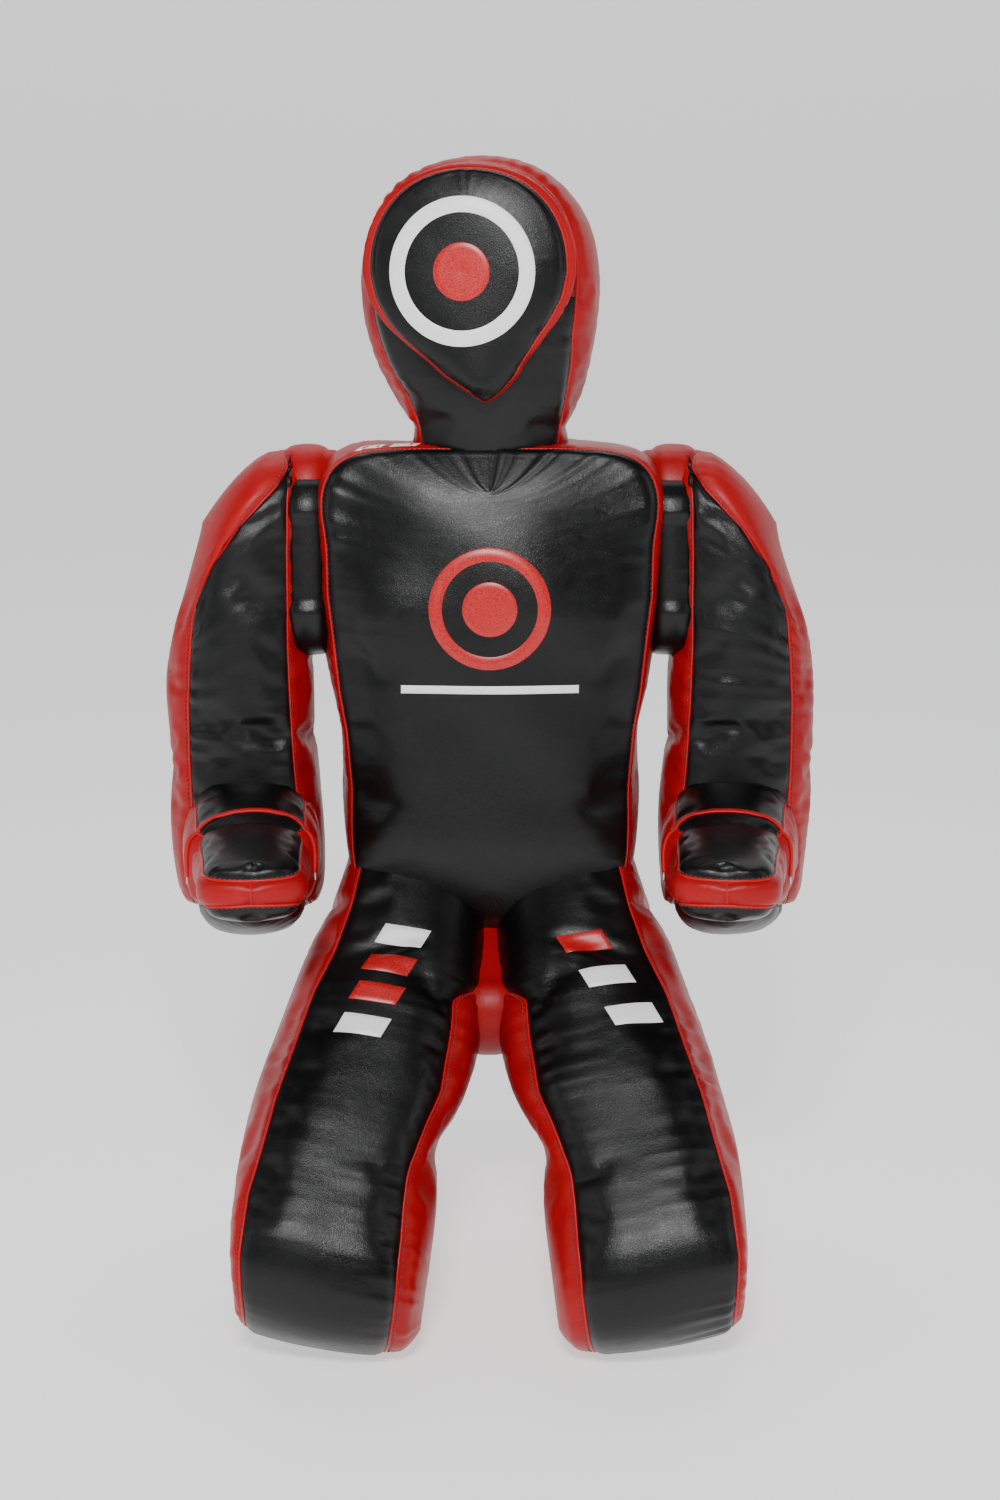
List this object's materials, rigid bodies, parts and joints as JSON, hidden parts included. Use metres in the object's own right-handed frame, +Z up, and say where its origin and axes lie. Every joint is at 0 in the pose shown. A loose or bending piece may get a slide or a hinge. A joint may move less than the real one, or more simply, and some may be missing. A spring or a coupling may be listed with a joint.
{
  "type": "grappling dummy",
  "caption": "Kneeling stuffed grappling dummy: sewn black and red panels over padding, target head, bent arms and folded legs, hinged at neck and limbs, with a back zip.",
  "frame": {"origin": "centre of the footprint on the floor", "axes": "+Z up, -Y the way the dummy faces, +X its own left side"},
  "size_m": [0.644, 0.6376, 1.125],
  "materials": {
    "black_vinyl": "satin vinyl with a fine grain",
    "red_vinyl": "satin vinyl with a fine grain",
    "stuffing": "shredded cloth in a plain liner",
    "white_print": "thin printed film",
    "red_print": "thin printed film",
    "zip_tape": "woven tape",
    "zip_teeth": "moulded",
    "zip_metal": "plated"
  },
  "bodies": {
    "torso": {"torso_fill": "stuffing", "chest_panel": "black_vinyl", "back_panel_left": "black_vinyl", "back_panel_right": "black_vinyl", "torso_side_gussets": "red_vinyl", "shoulder_gussets": "red_vinyl", "crotch_gusset": "red_vinyl", "zip_tapes": "zip_tape", "zip_teeth": "zip_teeth", "zip_stops": "zip_metal", "chest_print": "red_print"},
    "head": {"head_fill": "stuffing", "hood": "red_vinyl", "neck_panel": "black_vinyl", "face_pad": "stuffing", "face_gusset": "red_vinyl", "face_panel": "black_vinyl", "target_ring": "white_print", "target_dot": "red_print"},
    "zip_slider": {"zip_slider": "zip_metal"},
    "zip_pull": {"zip_pull": "zip_metal"},
    "upper_arm_left": {"upper_arm_fill_left": "stuffing", "upper_arm_panels_left": "black_vinyl", "upper_arm_gussets_left": "red_vinyl"},
    "forearm_left": {"forearm_fill_left": "stuffing", "forearm_panels_left": "black_vinyl", "forearm_gussets_left": "red_vinyl", "wrist_strap_left": "red_vinyl"},
    "hand_left": {"hand_fill_left": "stuffing", "hand_panels_left": "black_vinyl", "hand_gussets_left": "red_vinyl"},
    "thigh_left": {"thigh_fill_left": "stuffing", "thigh_panels_left": "black_vinyl", "thigh_gussets_left": "red_vinyl"},
    "shin_left": {"shin_fill_left": "stuffing", "shin_panels_left": "black_vinyl", "shin_gussets_left": "red_vinyl"},
    "foot_left": {"foot_fill_left": "stuffing", "foot_panels_left": "black_vinyl", "foot_gussets_left": "red_vinyl"},
    "upper_arm_right": {"upper_arm_fill_right": "stuffing", "upper_arm_panels_right": "black_vinyl", "upper_arm_gussets_right": "red_vinyl"},
    "forearm_right": {"forearm_fill_right": "stuffing", "forearm_panels_right": "black_vinyl", "forearm_gussets_right": "red_vinyl", "wrist_strap_right": "red_vinyl"},
    "hand_right": {"hand_fill_right": "stuffing", "hand_panels_right": "black_vinyl", "hand_gussets_right": "red_vinyl"},
    "thigh_right": {"thigh_fill_right": "stuffing", "thigh_panels_right": "black_vinyl", "thigh_gussets_right": "red_vinyl"},
    "shin_right": {"shin_fill_right": "stuffing", "shin_panels_right": "black_vinyl", "shin_gussets_right": "red_vinyl"},
    "foot_right": {"foot_fill_right": "stuffing", "foot_panels_right": "black_vinyl", "foot_gussets_right": "red_vinyl"}
  },
  "joints": [
    {"name": "neck_nod", "type": "hinge", "parent": "torso", "child": "head", "pos_m": [0, 0.04483, 0.845], "axis": [1, 0, 0], "range_deg": [-20, 20]},
    {"name": "shoulder_left", "type": "hinge", "parent": "torso", "child": "upper_arm_left", "pos_m": [0.252, 0.04483, 0.772], "axis": [-1, 0, 0], "range_deg": [-10, 60]},
    {"name": "elbow_left", "type": "hinge", "parent": "upper_arm_left", "child": "forearm_left", "pos_m": [0.252, 0.04483, 0.425], "axis": [-1, 0, 0], "range_deg": [-12, 18]},
    {"name": "wrist_left", "type": "hinge", "parent": "forearm_left", "child": "hand_left", "pos_m": [0.23372, -0.10406, 0.443], "axis": [-0.9925, 0.1219, 0], "range_deg": [-15, 15]},
    {"name": "hip_left", "type": "hinge", "parent": "torso", "child": "thigh_left", "pos_m": [0.084, 0.03483, 0.37698], "axis": [-0.9789, 0, -0.2045], "range_deg": [-20, 10]},
    {"name": "knee_left", "type": "hinge", "parent": "thigh_left", "child": "shin_left", "pos_m": [0.14479, -0.23283, 0.086], "axis": [0.9789, 0, 0.2045], "range_deg": [-40, 5]},
    {"name": "ankle_left", "type": "hinge", "parent": "shin_left", "child": "foot_left", "pos_m": [0.14479, 0.15283, 0.06], "axis": [1, 0, 0], "range_deg": [-15, 15]},
    {"name": "shoulder_right", "type": "hinge", "parent": "torso", "child": "upper_arm_right", "pos_m": [-0.252, 0.04483, 0.772], "axis": [-1, 0, 0], "range_deg": [-10, 60]},
    {"name": "elbow_right", "type": "hinge", "parent": "upper_arm_right", "child": "forearm_right", "pos_m": [-0.252, 0.04483, 0.425], "axis": [-1, 0, 0], "range_deg": [-12, 18]},
    {"name": "wrist_right", "type": "hinge", "parent": "forearm_right", "child": "hand_right", "pos_m": [-0.23372, -0.10406, 0.443], "axis": [-0.9925, -0.1219, 0], "range_deg": [-15, 15]},
    {"name": "hip_right", "type": "hinge", "parent": "torso", "child": "thigh_right", "pos_m": [-0.084, 0.03483, 0.37698], "axis": [-0.9789, 0, 0.2045], "range_deg": [-20, 10]},
    {"name": "knee_right", "type": "hinge", "parent": "thigh_right", "child": "shin_right", "pos_m": [-0.14479, -0.23283, 0.086], "axis": [0.9789, 0, -0.2045], "range_deg": [-40, 5]},
    {"name": "ankle_right", "type": "hinge", "parent": "shin_right", "child": "foot_right", "pos_m": [-0.14479, 0.15283, 0.06], "axis": [1, 0, 0], "range_deg": [-15, 15]},
    {"name": "zip_slide", "type": "slide", "parent": "torso", "child": "zip_slider", "axis": [0, 0, -1], "range_m": [0, 0.3]},
    {"name": "zip_pull_swing", "type": "hinge", "parent": "zip_slider", "child": "zip_pull", "pos_m": [0, 0.14663, 0.789], "axis": [1, 0, 0], "range_deg": [0, 150]}
  ]
}
